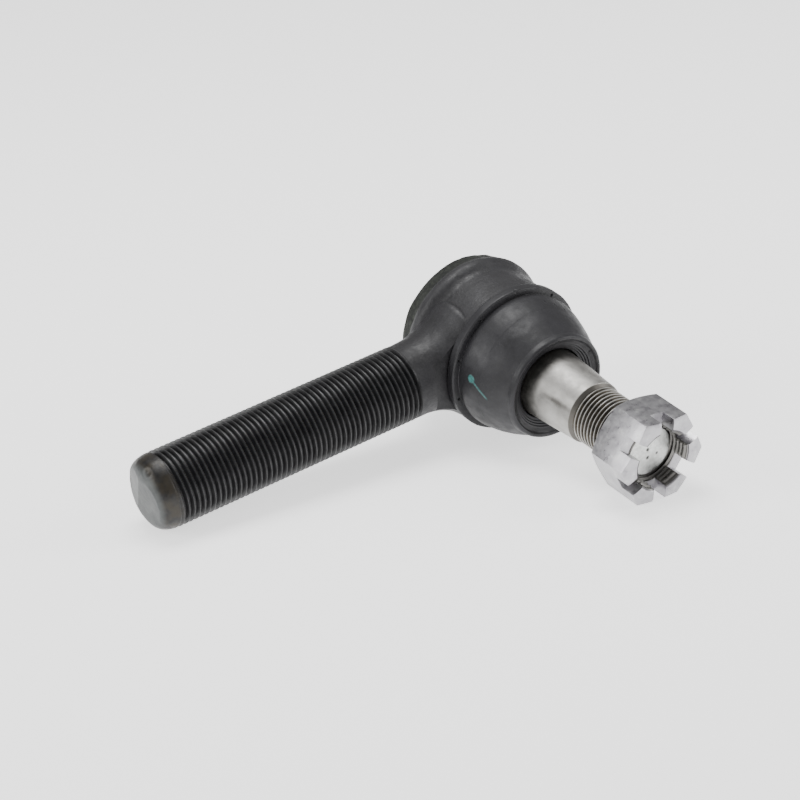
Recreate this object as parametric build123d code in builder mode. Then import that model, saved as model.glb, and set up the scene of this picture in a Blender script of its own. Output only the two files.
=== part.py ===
"""Heavy tie rod end: forged socket with a threaded shank, ball stud, rubber boot and slotted nut.

Frame: origin at the centre of the ball. The shank runs along -X, the stud along -Y, +Z is up.
All dimensions are in millimetres. A "depth" is the distance from the ball centre towards the
threaded end of the stud, so depth d lies at Y = -d, and a negative depth is on the cover side.
A "reach" is the distance from the ball centre along the shank, so reach s lies at X = -s.
"""
import os
from math import cos, hypot, radians, sin, sqrt

from build123d import *

# ---------------------------------------------------------------- unified thread form (60 degrees)
INCH = 25.4
THREAD_DEPTH = 0.6134          # share of the pitch
CREST_FLAT = 0.125             # share of the pitch
FLANK_TAN = 0.57735

# ------------------------------------------------------------------ socket housing: threaded shank
shank_major_r = 1.125 * INCH / 2      # 1 1/8 - 12
shank_pitch = INCH / 12
shank_first_crest = 43.0
shank_crests = 49
shank_neck_r = 14.2
# rounded nose beyond the last full crest, as (reach, radius)
shank_nose = ((146.2, 13.8), (147.6, 13.4), (149.5, 12.4), (151.2, 10.6), (152.2, 8.0), (152.5, 5.0))
shank_end = 152.6
shank_end_r = 3.0

# flare of the neck into the eye: a large fillet above and below, a slimmer one in depth
flare_start = 38.5
flare_reaches = (flare_start, 35.5, 32.3, 29.0, 26.0, 23.0, 19.8)
flare_height_fillet = 26.0
flare_depth_fillet = 36.0
flare_root = (15.0, 22.8, 19.7)       # reach, half height and half depth inside the eye

# --------------------------------------------------------------------------- socket housing: eye
eye_r = 27.6
eye_front_r = 27.3
eye_front = 10.4                      # machined face that the boot's flange lies against
eye_edge = 0.5
spotface_r = 35.6                     # the same face is cut into the neck out to this radius
spotface_top = 24.0
band_r = 29.85                        # forged ridge round the cover side of the eye
band = ((eye_r, -4.8), (27.75, -6.2), (28.4, -7.7), (29.4, -9.3), (band_r, -11.0), (29.6, -12.7), (28.9, -14.2))
lip_outer_r = 27.5
lip_rear = -20.3
lip_edge = 0.6
lip_inner_r = 20.3
lip_under = -18.5
counterbore_r = 22.5
counterbore_step = -16.3
bore_r = 20.6
cone_start = (20.6, 4.5)              # (radius, depth) where the bore closes round the ball
cone_end = (15.3, 9.6)
mouth_r = 18.7
spigot_r = 24.0                       # the boot's steel insert is pressed over this
spigot_front = 16.0
spigot_edge = 0.6

# ----------------------------------------------------------- ball stud, taper 1 in 8 on diameter
ball_r = 16.0
ball_flat = -12.4
neck_r = 9.5
neck_fillet = 1.5
neck_end = 24.0
collar_r = 14.2
collar_start = 30.2
collar_end = 32.0
taper_start = 32.6
taper_end = 61.9
taper_small_r = 11.93
taper_ratio = 1 / 8
shoulder_edge = 0.7
relief_r = 9.9
relief_start = 63.3
stud_major_r = 0.875 * INCH / 2       # 7/8 - 14
stud_pitch = INCH / 14
stud_first_crest = 64.8
stud_crests = 15
stud_tip_r = 9.1
stud_tip = 92.4
stud_dome = 0.4
cotter_depth = 83.0                   # split-pin hole across the thread
cotter_r = 2.2
cotter_sink = 1.7                     # depth of the countersink at both mouths of the hole

# --------------------------------------------------- slotted nut, part way down the stud's thread
nut_across_flats = 1.25 * INCH
nut_base = 81.0
nut_height = 0.75 * INCH
nut_turn = -8.3                       # direction of one corner, from +X towards +Z
nut_bore_r = stud_major_r + 0.05
nut_entry_r = 12.0
nut_slot_width = 5.6
nut_slot_depth = 6.4
nut_base_land_r = 15.3
nut_base_chamfer = 1.75
nut_crown_land_r = 15.0
nut_crown_chamfer = 1.0
cotter_turn = nut_turn + 90.0         # across one pair of opposite slots

# ---------------------------------------------------------------- bearings and spring in the bore
socket_r = ball_r + 0.05              # running fit round the ball
seat_outer_r = bore_r - 0.1
upper_seat_rear = -0.5
upper_seat_edge = 7.4
upper_seat_front = (15.2, 9.4)
pressure_seat_front = -1.0
pressure_seat_edge = -12.0
pressure_seat_rear = -14.4
pressure_seat_outer_r = 20.4
spring_outer_r = 19.8
spring_inner_r = 11.6
spring_thickness = 0.9
spring_seat_side = -14.42
spring_cover_side = -16.28

# ---------------------------------------------------------------------------- cover and its seal
cover_r = 22.4
cover_thickness = 2.2
cover_rise = 3.2                      # the middle is pressed outwards by this much
cover_rim_r = 17.6
cover_boss_r = 8.5
seal_inner_r = 21.3
seal_outer_r = counterbore_r - 0.03
seal_front = -17.0
seal_rear = -17.8
groove_gap = 0.03

# -------------------------------------------------------------------- grease fitting, 1/4 - 28
fitting_thread_r = 0.25 * INCH / 2
fitting_hex = 7.9
fitting_hex_height = 3.4
fitting_stem_r = 2.6
fitting_head_r = 3.25
fitting_head_height = 3.2
fitting_crown_r = 1.9
fitting_height = 10.2                 # above the cover
fitting_inside = 0.8                  # past the cover's inner face
fitting_bore_r = 1.6
fitting_mouth_r = 0.9
fitting_ball_r = 1.25
fitting_ball_inset = 1.7
fitting_spring_r = 1.45
fitting_spring_wall = 0.45

# ------------------------------------------------------------------- rubber boot and its two rings
flange_r = 28.9
flange_rear = 10.9
flange_front = 14.5
flange_edge = 0.6
dome_foot = (26.2, 14.8)              # bottom of the groove between the flange and the dome
dome = ((26.6, 15.8), (26.9, 18.0), (26.35, 22.0), (25.3, 26.0), (23.6, 31.0), (21.6, 35.7), (20.9, 37.3))
dome_lining = ((19.9, 35.6), (21.7, 30.6), (23.3, 25.6), (24.4, 21.0), (24.9, 17.4))
mouth_rim = ((20.8, 38.6), (20.4, 39.5), (19.8, 39.9), (19.2, 39.7), (18.7, 39.0))
funnel_ridges = ((17.3, 38.2), (16.5, 37.6), (15.7, 37.0))   # outer corner of each ridge
funnel_step = ((0.0, 0.0), (-0.55, -0.1), (-0.7, -0.5))     # one ridge, from its outer corner
tongue = (33.4, 36.2)                 # depths of the lip that wipes the stud
tongue_r = 14.0
funnel_lining = ((15.7, 33.2), (17.3, 34.0), (18.4, 35.2), (18.9, 36.0))
insert_gap = 0.05
insert_sleeve = (spigot_r + 0.03, 25.2, 10.95, 15.0)         # inner r, outer r, rear, front
insert_brim = (27.2, 11.8, 12.8)                             # outer r, rear, front
mouth_ring_r = 19.65
mouth_ring_depth = 38.2
mouth_ring_wire_r = 0.6

os.makedirs("parts", exist_ok=True)


def along_stud(*points):
    """Place (radius, depth) pairs on the XY plane, in the half section beside the stud axis."""
    return [(r, -d) for r, d in points]


def along_shank(*points):
    """Place (reach, radius) pairs on the XY plane, in the half section beside the shank axis."""
    return [(-s, r) for s, r in points]


def thread_ridges(first_crest, count, pitch, major_r):
    """Evenly spaced ridges of a thread's half section, as (position along the axis, radius)."""
    root_r = major_r - THREAD_DEPTH * pitch
    land = CREST_FLAT * pitch / 2
    foot = land + (major_r - root_r) * FLANK_TAN
    points = []
    for k in range(count):
        crest = first_crest + k * pitch
        points += [(crest - foot, root_r), (crest - land, major_r)]
        points += [(crest + land, major_r), (crest + foot, root_r)]
    return points


def flare_half_width(reach, fillet_r):
    """Half width of the flaring neck, following a fillet that starts tangent to the neck."""
    return shank_neck_r + fillet_r - sqrt(fillet_r**2 - (flare_start - reach) ** 2)


# -------------------------------------------------------------------------------- socket housing
shank_ridges = thread_ridges(shank_first_crest, shank_crests, shank_pitch, shank_major_r)

with BuildPart() as socket_housing:
    # the eye as a solid of revolution: spigot, machined face, barrel, forged ridge, rear lip
    with BuildSketch(Plane.XY):
        with BuildLine():
            front = Polyline(
                *along_stud(
                    (0, spigot_front),
                    (spigot_r - spigot_edge, spigot_front),
                    (spigot_r, spigot_front - spigot_edge),
                    (spigot_r, eye_front),
                    (eye_front_r - eye_edge, eye_front),
                    (eye_front_r, eye_front - eye_edge),
                    band[0],
                )
            )
            Spline(*along_stud(*band))
            rear = Polyline(
                *along_stud(
                    band[-1],
                    (lip_outer_r, lip_rear + lip_edge),
                    (lip_outer_r - lip_edge, lip_rear),
                    (0, lip_rear),
                )
            )
            Line(rear @ 1, front @ 0)
        make_face()
    revolve(axis=Axis.Y)

    # the neck flares into the eye
    for reach in flare_reaches:
        with BuildSketch(Plane.YZ.offset(-reach)):
            Ellipse(
                flare_half_width(reach, flare_depth_fillet),
                flare_half_width(reach, flare_height_fillet),
            )
    with BuildSketch(Plane.YZ.offset(-flare_root[0])):
        Ellipse(flare_root[2], flare_root[1])
    loft()

    # neck, thread ridges and rounded end, turned about the shank axis
    with BuildSketch(Plane.XY):
        with BuildLine():
            shank = Polyline(
                *along_shank(
                    (flare_start, 0),
                    (flare_start, shank_neck_r),
                    (shank_ridges[0][0] - 0.2, shank_neck_r),
                    *shank_ridges,
                    shank_nose[0],
                )
            )
            nose = Spline(*along_shank(*shank_nose))
            Polyline(nose @ 1, *along_shank((shank_end, shank_end_r), (shank_end, 0)), shank @ 0)
        make_face()
    revolve(axis=Axis.X)

    # machined face round the mouth, cut on into the neck to clear the boot's flange
    with BuildSketch(Plane.XY):
        with BuildLine():
            Polyline(
                *along_stud(
                    (0, spigot_front),
                    (spigot_r - spigot_edge, spigot_front),
                    (spigot_r, spigot_front - spigot_edge),
                    (spigot_r, eye_front),
                    (spotface_r, eye_front),
                    (spotface_r, spotface_top),
                    (0, spotface_top),
                ),
                close=True,
            )
        make_face()
    revolve(axis=Axis.Y, mode=Mode.SUBTRACT)

    # stepped bore: mouth, cone that keeps the ball in, bearing bore, counterbore, rolled lip
    mouth_slope = (mouth_r - cone_end[0]) / (spigot_front - cone_end[1])
    with BuildSketch(Plane.XY):
        with BuildLine():
            Polyline(
                *along_stud(
                    (0, spotface_top),
                    (mouth_r + mouth_slope * (spotface_top - spigot_front), spotface_top),
                    cone_end,
                    cone_start,
                    (bore_r, counterbore_step),
                    (counterbore_r, counterbore_step),
                    (counterbore_r, lip_under),
                    (lip_inner_r, lip_under),
                    (lip_inner_r + 0.6, lip_rear),
                    (lip_inner_r + 0.6, lip_rear - 1),
                    (0, lip_rear - 1),
                ),
                close=True,
            )
        make_face()
    revolve(axis=Axis.Y, mode=Mode.SUBTRACT)

# ------------------------------------------------------------------------------------- ball stud
taper_large_r = taper_small_r + (taper_end - shoulder_edge - taper_start) * taper_ratio / 2
stud_ridges = thread_ridges(stud_first_crest, stud_crests, stud_pitch, stud_major_r)
stud_thread = [(r, d) for d, r in stud_ridges]
ball_flat_r = sqrt(ball_r**2 - ball_flat**2)

# the ball runs into the neck through a small fillet, whose centre lies at this radius and depth
fillet_centre = (neck_r + neck_fillet, sqrt((ball_r + neck_fillet) ** 2 - (neck_r + neck_fillet) ** 2))
ball_share = ball_r / (ball_r + neck_fillet)
fillet_on_ball = (fillet_centre[0] * ball_share, fillet_centre[1] * ball_share)
fillet_on_neck = (neck_r, fillet_centre[1])
chord = ((fillet_on_ball[0] + fillet_on_neck[0]) / 2, (fillet_on_ball[1] + fillet_on_neck[1]) / 2)
away = (chord[0] - fillet_centre[0], chord[1] - fillet_centre[1])
fillet_middle = tuple(c + a * neck_fillet / hypot(*away) for c, a in zip(fillet_centre, away))

with BuildPart() as ball_stud:
    with BuildSketch(Plane.XY):
        with BuildLine():
            flat = Line(*along_stud((0, ball_flat), (ball_flat_r, ball_flat)))
            ThreePointArc(*along_stud((ball_flat_r, ball_flat), (ball_r, 0), fillet_on_ball))
            ThreePointArc(*along_stud(fillet_on_ball, fillet_middle, fillet_on_neck))
            shaft = Polyline(
                *along_stud(
                    fillet_on_neck,
                    (neck_r, neck_end),
                    (neck_r + 0.9, neck_end + 2.4),
                    (collar_r - 0.8, collar_start - 0.9),
                    (collar_r, collar_start),
                    (collar_r, collar_end),
                    (taper_large_r, taper_start),
                    (taper_small_r, taper_end - shoulder_edge),
                    (taper_small_r - shoulder_edge, taper_end),
                    (relief_r, relief_start),
                    *stud_thread,
                    (stud_tip_r + 0.35, stud_tip - 0.5),
                    (stud_tip_r - 0.35, stud_tip),
                )
            )
            end = TangentArc((0, -stud_tip - stud_dome), shaft @ 1, tangent=(1, 0))
            Line(end @ 0, flat @ 0)
        make_face()
    revolve(axis=Axis.Y)
    # split-pin hole straight across the thread
    cotter_axis = (cos(radians(cotter_turn)), 0, sin(radians(cotter_turn)))
    with BuildSketch(Plane(origin=(0, -cotter_depth, 0), x_dir=(0, 1, 0), z_dir=cotter_axis)):
        Circle(cotter_r)
    extrude(amount=stud_major_r + 1, both=True, mode=Mode.SUBTRACT)
    # countersinks, drawn on the plane of the stud axis and the hole's axis
    sink_start = stud_major_r - cotter_sink
    sink_end = stud_major_r + 0.5
    across = (cotter_axis[2], 0, -cotter_axis[0])
    with BuildSketch(Plane(origin=(0, -cotter_depth, 0), x_dir=cotter_axis, z_dir=across)):
        for side in (1, -1):
            with BuildLine():
                Polyline(
                    (side * sink_start, 0),
                    (side * sink_start, cotter_r),
                    (side * sink_end, cotter_r + sink_end - sink_start),
                    (side * sink_end, 0),
                    close=True,
                )
            make_face()
    revolve(axis=Axis((0, -cotter_depth, 0), cotter_axis), mode=Mode.SUBTRACT)

# ----------------------------------------------------------------------------------- slotted nut
corner_axis = (cos(radians(nut_turn)), 0, sin(radians(nut_turn)))
nut_corner_r = nut_across_flats / 2 / cos(radians(30))
nut_top = nut_base + nut_height
nut_sink = nut_entry_r - nut_bore_r

with BuildPart() as castle_nut:
    with BuildSketch(Plane(origin=(0, -nut_base, 0), x_dir=corner_axis, z_dir=(0, -1, 0))):
        RegularPolygon(radius=nut_corner_r, side_count=6)
    extrude(amount=nut_height)
    # both ends of the hexagon are chamfered in the lathe
    with BuildSketch(Plane.XY):
        with BuildLine():
            Polyline(
                *along_stud(
                    (0, nut_base),
                    (nut_base_land_r, nut_base),
                    (nut_corner_r + 0.01, nut_base + nut_base_chamfer),
                    (nut_corner_r + 0.01, nut_top - nut_crown_chamfer),
                    (nut_crown_land_r, nut_top),
                    (0, nut_top),
                ),
                close=True,
            )
        make_face()
    revolve(axis=Axis.Y, mode=Mode.INTERSECT)
    # bore at the thread's major diameter, countersunk at both ends
    with BuildSketch(Plane.XY):
        with BuildLine():
            Polyline(
                *along_stud(
                    (0, nut_base - 1),
                    (nut_entry_r + 1, nut_base - 1),
                    (nut_bore_r, nut_base + nut_sink),
                    (nut_bore_r, nut_top - nut_sink),
                    (nut_entry_r + 1, nut_top + 1),
                    (0, nut_top + 1),
                ),
                close=True,
            )
        make_face()
    revolve(axis=Axis.Y, mode=Mode.SUBTRACT)
    # one slot through the middle of each flat
    slot_floor = (0, -(nut_top - nut_slot_depth), 0)
    with BuildSketch(Plane(origin=slot_floor, x_dir=corner_axis, z_dir=(0, -1, 0))):
        with PolarLocations(0, 3, start_angle=30, angular_range=180):
            Rectangle(2 * nut_corner_r + 2, nut_slot_width)
    extrude(amount=nut_slot_depth + 1, mode=Mode.SUBTRACT)


# --------------------------------------------------------------------------- bearings and spring
def on_socket(depth):
    """Point of the seats' spherical face at a given depth, as (radius, depth)."""
    return (sqrt(socket_r**2 - depth**2), depth)


with BuildPart() as upper_bearing_seat:
    with BuildSketch(Plane.XY):
        with BuildLine():
            middle = (upper_seat_rear + upper_seat_edge) / 2
            cup = ThreePointArc(
                *along_stud(on_socket(upper_seat_rear), on_socket(middle), on_socket(upper_seat_edge))
            )
            Polyline(
                cup @ 1,
                *along_stud(
                    upper_seat_front,
                    (seat_outer_r, cone_start[1] - 0.1),
                    (seat_outer_r, upper_seat_rear),
                ),
                cup @ 0,
            )
        make_face()
    revolve(axis=Axis.Y)

with BuildPart() as pressure_seat:
    with BuildSketch(Plane.XY):
        with BuildLine():
            middle = (pressure_seat_front + pressure_seat_edge) / 2
            cup = ThreePointArc(
                *along_stud(on_socket(pressure_seat_front), on_socket(middle), on_socket(pressure_seat_edge))
            )
            Polyline(
                cup @ 1,
                *along_stud(
                    (on_socket(pressure_seat_edge)[0], pressure_seat_rear),
                    (pressure_seat_outer_r, pressure_seat_rear),
                    (pressure_seat_outer_r, pressure_seat_front),
                ),
                cup @ 0,
            )
        make_face()
    revolve(axis=Axis.Y)

with BuildPart() as preload_spring:
    # conical disc spring: its inner edge bears on the seat, its outer edge on the cover
    with BuildSketch(Plane.XY):
        with BuildLine():
            Polyline(
                *along_stud(
                    (spring_inner_r, spring_seat_side),
                    (spring_outer_r, spring_cover_side + spring_thickness),
                    (spring_outer_r, spring_cover_side),
                    (spring_inner_r, spring_seat_side - spring_thickness),
                ),
                close=True,
            )
        make_face()
    revolve(axis=Axis.Y)

# ---------------------------------------------------------------------------- cover and its seal
cover_inner = counterbore_step
cover_outer = cover_inner - cover_thickness
cover_hole_r = fitting_thread_r + groove_gap

with BuildPart() as end_cover:
    with BuildSketch(Plane.XY):
        with BuildLine():
            Polyline(
                *along_stud(
                    (cover_hole_r, cover_inner - cover_rise),
                    (cover_boss_r, cover_inner - cover_rise),
                    (cover_rim_r, cover_inner),
                    (cover_r, cover_inner),
                    (cover_r, seal_front + groove_gap),
                    (seal_inner_r - groove_gap, seal_front + groove_gap),
                    (seal_inner_r - groove_gap, seal_rear - groove_gap),
                    (cover_r, seal_rear - groove_gap),
                    (cover_r, cover_outer),
                    (cover_rim_r + 0.5, cover_outer),
                    (cover_boss_r + 0.5, cover_outer - cover_rise),
                    (cover_hole_r, cover_outer - cover_rise),
                ),
                close=True,
            )
        make_face()
    revolve(axis=Axis.Y)

with BuildPart() as cover_seal_ring:
    with BuildSketch(Plane.XY):
        with BuildLine():
            Polyline(
                *along_stud(
                    (seal_inner_r, seal_front),
                    (seal_outer_r, seal_front),
                    (seal_outer_r, seal_rear),
                    (seal_inner_r, seal_rear),
                ),
                close=True,
            )
        make_face()
    revolve(axis=Axis.Y)

# -------------------------------------------------------------------------------- grease fitting
fitting_seat = cover_outer - cover_rise - 0.02
fitting_tip = fitting_seat - fitting_height
fitting_floor = cover_inner - cover_rise + fitting_inside
fitting_ball_depth = fitting_tip + fitting_ball_inset
spring_seat = fitting_floor - 1.2

with BuildPart() as grease_fitting_body:
    with BuildSketch(Plane.XZ.offset(fitting_seat)):
        RegularPolygon(radius=fitting_hex / 2, side_count=6, major_radius=False)
    extrude(amount=-fitting_hex_height)
    with BuildSketch(Plane.XY):
        with BuildLine():
            Polyline(
                *along_stud(
                    (0, fitting_floor),
                    (fitting_thread_r, fitting_floor),
                    (fitting_thread_r, fitting_seat),
                    (fitting_stem_r, fitting_seat),
                    (fitting_stem_r, fitting_tip + fitting_head_height + 0.6),
                    (fitting_head_r, fitting_tip + fitting_head_height),
                    (fitting_head_r, fitting_tip + 1.6),
                    (fitting_crown_r, fitting_tip),
                    (0, fitting_tip),
                ),
                close=True,
            )
        make_face()
    revolve(axis=Axis.Y)
    # stepped bore: the ball closes its narrow mouth and the spring pushes from behind
    with BuildSketch(Plane.XY):
        with BuildLine():
            Polyline(
                *along_stud(
                    (0, fitting_tip - 1),
                    (fitting_mouth_r, fitting_tip - 1),
                    (fitting_mouth_r, fitting_tip + 0.6),
                    (fitting_bore_r, fitting_tip + 1.3),
                    (fitting_bore_r, spring_seat),
                    (fitting_mouth_r, spring_seat),
                    (fitting_mouth_r, fitting_floor + 1),
                    (0, fitting_floor + 1),
                ),
                close=True,
            )
        make_face()
    revolve(axis=Axis.Y, mode=Mode.SUBTRACT)

with BuildPart() as grease_fitting_ball:
    with BuildSketch(Plane.XY):
        with BuildLine():
            half = ThreePointArc(
                *along_stud(
                    (0, fitting_ball_depth - fitting_ball_r),
                    (fitting_ball_r, fitting_ball_depth),
                    (0, fitting_ball_depth + fitting_ball_r),
                )
            )
            Line(half @ 1, half @ 0)
        make_face()
    revolve(axis=Axis.Y)

with BuildPart() as grease_fitting_spring:
    with BuildSketch(Plane.XY):
        with BuildLine():
            coil_front = fitting_ball_depth + fitting_ball_r * 0.8
            coil_inner_r = fitting_spring_r - fitting_spring_wall
            Polyline(
                *along_stud(
                    (fitting_spring_r, coil_front),
                    (fitting_spring_r, spring_seat - 0.05),
                    (coil_inner_r, spring_seat - 0.05),
                    (coil_inner_r, coil_front),
                ),
                close=True,
            )
        make_face()
    revolve(axis=Axis.Y)

# -------------------------------------------------------------------------- boot and its two rings
sleeve_inner, sleeve_outer, sleeve_rear, sleeve_front = insert_sleeve
brim_outer, brim_rear, brim_front = insert_brim

with BuildPart() as boot_flange_insert:
    with BuildSketch(Plane.XY):
        with BuildLine():
            Polyline(
                *along_stud(
                    (sleeve_inner, sleeve_rear),
                    (sleeve_outer, sleeve_rear),
                    (sleeve_outer, brim_rear),
                    (brim_outer, brim_rear),
                    (brim_outer, brim_front),
                    (sleeve_outer, brim_front),
                    (sleeve_outer, sleeve_front),
                    (sleeve_inner, sleeve_front),
                ),
                close=True,
            )
        make_face()
    revolve(axis=Axis.Y)

with BuildPart() as boot:
    with BuildSketch(Plane.XY):
        with BuildLine():
            flange = Polyline(
                *along_stud(
                    (sleeve_inner + insert_gap, sleeve_front + insert_gap),
                    (sleeve_outer + insert_gap, sleeve_front + insert_gap),
                    (sleeve_outer + insert_gap, brim_front + insert_gap),
                    (brim_outer + insert_gap, brim_front + insert_gap),
                    (brim_outer + insert_gap, brim_rear - insert_gap),
                    (sleeve_outer + insert_gap, brim_rear - insert_gap),
                    (sleeve_outer + insert_gap, flange_rear),
                    (flange_r - flange_edge, flange_rear),
                    (flange_r, flange_rear + flange_edge),
                    (flange_r, flange_front - flange_edge),
                    (flange_r - flange_edge, flange_front),
                    dome_foot,
                    dome[0],
                )
            )
            Spline(*along_stud(*dome))
            mouth = Polyline(
                *along_stud(
                    dome[-1],
                    *mouth_rim,
                    *[(r + dr, d + dd) for r, d in funnel_ridges for dr, dd in funnel_step],
                    (tongue_r, tongue[1]),
                    (tongue_r, tongue[0]),
                    *funnel_lining,
                    dome_lining[0],
                )
            )
            Spline(*along_stud(*dome_lining))
            Line(*along_stud(dome_lining[-1], (sleeve_inner + insert_gap, sleeve_front + insert_gap)))
        make_face()
        with Locations((mouth_ring_r, -mouth_ring_depth)):
            Circle(mouth_ring_wire_r + insert_gap, mode=Mode.SUBTRACT)
    revolve(axis=Axis.Y)

with BuildPart() as boot_mouth_ring:
    with BuildSketch(Plane.XY):
        with Locations((mouth_ring_r, -mouth_ring_depth)):
            Circle(mouth_ring_wire_r)
    revolve(axis=Axis.Y)

# ----------------------------------------------------------------------------------- write it out
pieces = {
    "socket_housing": socket_housing,
    "upper_bearing_seat": upper_bearing_seat,
    "pressure_seat": pressure_seat,
    "preload_spring": preload_spring,
    "end_cover": end_cover,
    "cover_seal_ring": cover_seal_ring,
    "grease_fitting_body": grease_fitting_body,
    "grease_fitting_ball": grease_fitting_ball,
    "grease_fitting_spring": grease_fitting_spring,
    "boot": boot,
    "boot_flange_insert": boot_flange_insert,
    "boot_mouth_ring": boot_mouth_ring,
    "ball_stud": ball_stud,
    "castle_nut": castle_nut,
}
for name, piece in pieces.items():
    piece.part.label = name
    export_step(piece.part, f"parts/{name}.step")
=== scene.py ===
"""Tie rod end on a white floor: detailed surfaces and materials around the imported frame.

The frame has its origin at the ball's centre, the shank along -X, the stud along -Y and +Z up.
A "depth" is a distance along the stud from the ball's centre and a "reach" one along the shank.
Lengths in the tables below are in millimetres; the place functions turn them into Blender's metres.
"""
from math import cos, hypot, pi, radians, sin

import bmesh
import bpy
from mathutils import Matrix, Vector, noise


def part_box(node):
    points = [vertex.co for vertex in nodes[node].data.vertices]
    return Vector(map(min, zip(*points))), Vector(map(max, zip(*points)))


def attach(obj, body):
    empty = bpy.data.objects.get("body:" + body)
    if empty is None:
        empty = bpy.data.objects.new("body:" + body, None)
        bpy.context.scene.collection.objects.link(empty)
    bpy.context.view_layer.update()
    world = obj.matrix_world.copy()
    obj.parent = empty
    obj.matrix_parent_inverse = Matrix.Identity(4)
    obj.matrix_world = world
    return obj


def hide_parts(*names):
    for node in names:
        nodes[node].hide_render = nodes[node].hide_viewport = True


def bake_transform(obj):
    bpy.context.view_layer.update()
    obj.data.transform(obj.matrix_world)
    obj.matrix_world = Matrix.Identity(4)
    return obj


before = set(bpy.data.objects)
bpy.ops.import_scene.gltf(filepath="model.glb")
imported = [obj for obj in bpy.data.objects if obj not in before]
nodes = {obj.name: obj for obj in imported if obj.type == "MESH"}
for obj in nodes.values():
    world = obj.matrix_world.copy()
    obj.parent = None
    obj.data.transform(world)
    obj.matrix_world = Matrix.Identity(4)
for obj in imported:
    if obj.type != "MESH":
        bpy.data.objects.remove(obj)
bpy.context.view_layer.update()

MM = 0.001
INCH = 25.4
WELD = 2e-6                   # metres; points nearer than this become one

# unified thread form: share of the pitch taken by the depth and by the crest land
THREAD_DEPTH = 0.6134
CREST_LAND = 0.125
FLANK_TAN = 0.57735

# right-hand helices: the sign of the advance per turn in each place function's own angle
SHANK_HAND = -1
STUD_HAND = 1

SHANK_PITCH = INCH / 12
SHANK_R = 1.125 * INCH / 2
SHANK_CREST = 43.0
NECK_R = 14.2
NECK_CUT = 41.9               # reach where the forging ends and the thread begins
THREAD_START = 41.0
RUN_OUT = (143.0, 145.0)      # reaches over which the last groove fades
NOSE = (
    (14.15, 145.0), (14.05, 145.9), (13.55, 147.9), (12.85, 149.3), (11.7, 150.6),
    (10.0, 151.6), (7.5, 152.3), (4.0, 152.55), (0.0, 152.6),
)
NOSE_RIDGE = (2.75, -0.262)   # the two facets of the nose meet along y = a + b z
NOSE_PEAK = 152.3             # reach of the line where they meet
NOSE_SLOPES = (0.21, 0.075)   # how fast each facet falls back from it

STUD_PITCH = INCH / 14
STUD_R = 0.875 * INCH / 2
STUD_CREST = 64.8
RELIEF_R = 9.9
RELIEF_CUT = 63.2
STUD_RUN_OUT = (62.2, 62.9)
STUD_TIP = ((9.9, 91.2), (9.45, 92.0), (9.1, 92.3), (8.5, 92.42), (0.0, 92.8))
COTTER = (83.0, 2.2, 81.7)    # depth, radius and direction of the split-pin hole
COTTER_SINK = 1.7
# x, z, radius and depth of each dimple in the stud's end face
PUNCH_MARKS = ((-1.0, 1.3, 0.85, 0.5), (-1.1, -2.1, 0.9, 0.5), (3.0, -1.9, 0.7, 0.2))

NUT_DEPTHS = (81.0, 100.05)
NUT_MINOR_R = 10.35
NUT_BORE_R = 11.16
NUT_SLEEVE_R = 11.6
NUT_TURN = -8.3
NUT_SLOT = (5.6, 6.4)         # width and depth

BOOT_SPLIT = 25.5             # depth where the lower boot ends and the upper one begins
BOOT_SPLIT_R = 23.3           # radius of the inside there
BOOT_FIXED = 14.5             # lower depth listed with the boot's lower piece
BOOT_CARRIED = 36.0           # upper depth listed with the boot's upper piece
FLANGE = (
    (24.08, 15.05, 0), (25.25, 15.05, 0), (25.25, 12.85, 0), (27.25, 12.85, 0), (27.25, 11.75, 0),
    (25.25, 11.75, 0), (25.25, 10.9, 0), (28.9, 10.9, 0.7), (28.9, 14.5, 0.7), (26.2, 14.8, 0.3),
)
DOME = (
    (26.6, 15.8), (26.9, 18.0), (26.35, 22.0), (25.3, 26.0), (23.6, 31.0), (21.6, 35.7), (20.9, 37.3),
)
LINING = ((19.9, 35.6), (21.7, 30.6), (23.3, 25.6), (24.4, 21.0), (24.9, 17.4))
MOUTH = (
    (20.7, 38.7), (20.35, 39.5), (19.8, 39.85), (19.2, 39.7), (18.7, 39.0),
)
RIDGES = ((17.3, 38.2), (16.5, 37.6), (15.7, 37.0))
RIDGE_STEP = ((0.0, 0.0, 0.12), (-0.55, -0.1, 0.12), (-0.7, -0.5, 0.1))
TONGUE = ((14.0, 36.2, 0.25), (14.0, 33.4, 0.2), (15.7, 33.2, 0.4), (17.3, 34.0, 0.4), (18.9, 35.9, 0.5))


# ------------------------------------------------------------------------------ mesh helpers
def on_stud(r, depth, angle):
    """Point at a radius and an angle (from +X towards +Z) about the stud axis."""
    return Vector((r * cos(angle), -depth, r * sin(angle))) * MM


def on_shank(r, reach, angle):
    """Point at a radius and an angle (from +Y towards +Z) about the shank axis."""
    return Vector((-reach, r * cos(angle), r * sin(angle))) * MM


def ease(value):
    value = min(1, max(0, value))
    return value * value * (3 - 2 * value)


def full_turn(steps):
    return [2 * pi * k / steps for k in range(steps + 1)]


def skin(rows, closed=False):
    """Faces between rows of points; points that meet are welded."""
    bm = bmesh.new()
    grid = [[bm.verts.new(point) for point in row] for row in rows]
    if closed:
        grid.append(grid[0])
    for lower, upper in zip(grid, grid[1:]):
        for k in range(len(lower) - 1):
            bm.faces.new((lower[k], lower[k + 1], upper[k + 1], upper[k]))
    bmesh.ops.remove_doubles(bm, verts=bm.verts, dist=WELD)
    bmesh.ops.dissolve_degenerate(bm, edges=bm.edges, dist=WELD)
    bmesh.ops.recalc_face_normals(bm, faces=bm.faces)
    return bm


def lathe_rows(profile, place, angles):
    return [[place(r, position, a) for a in angles] for r, position in profile]


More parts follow.
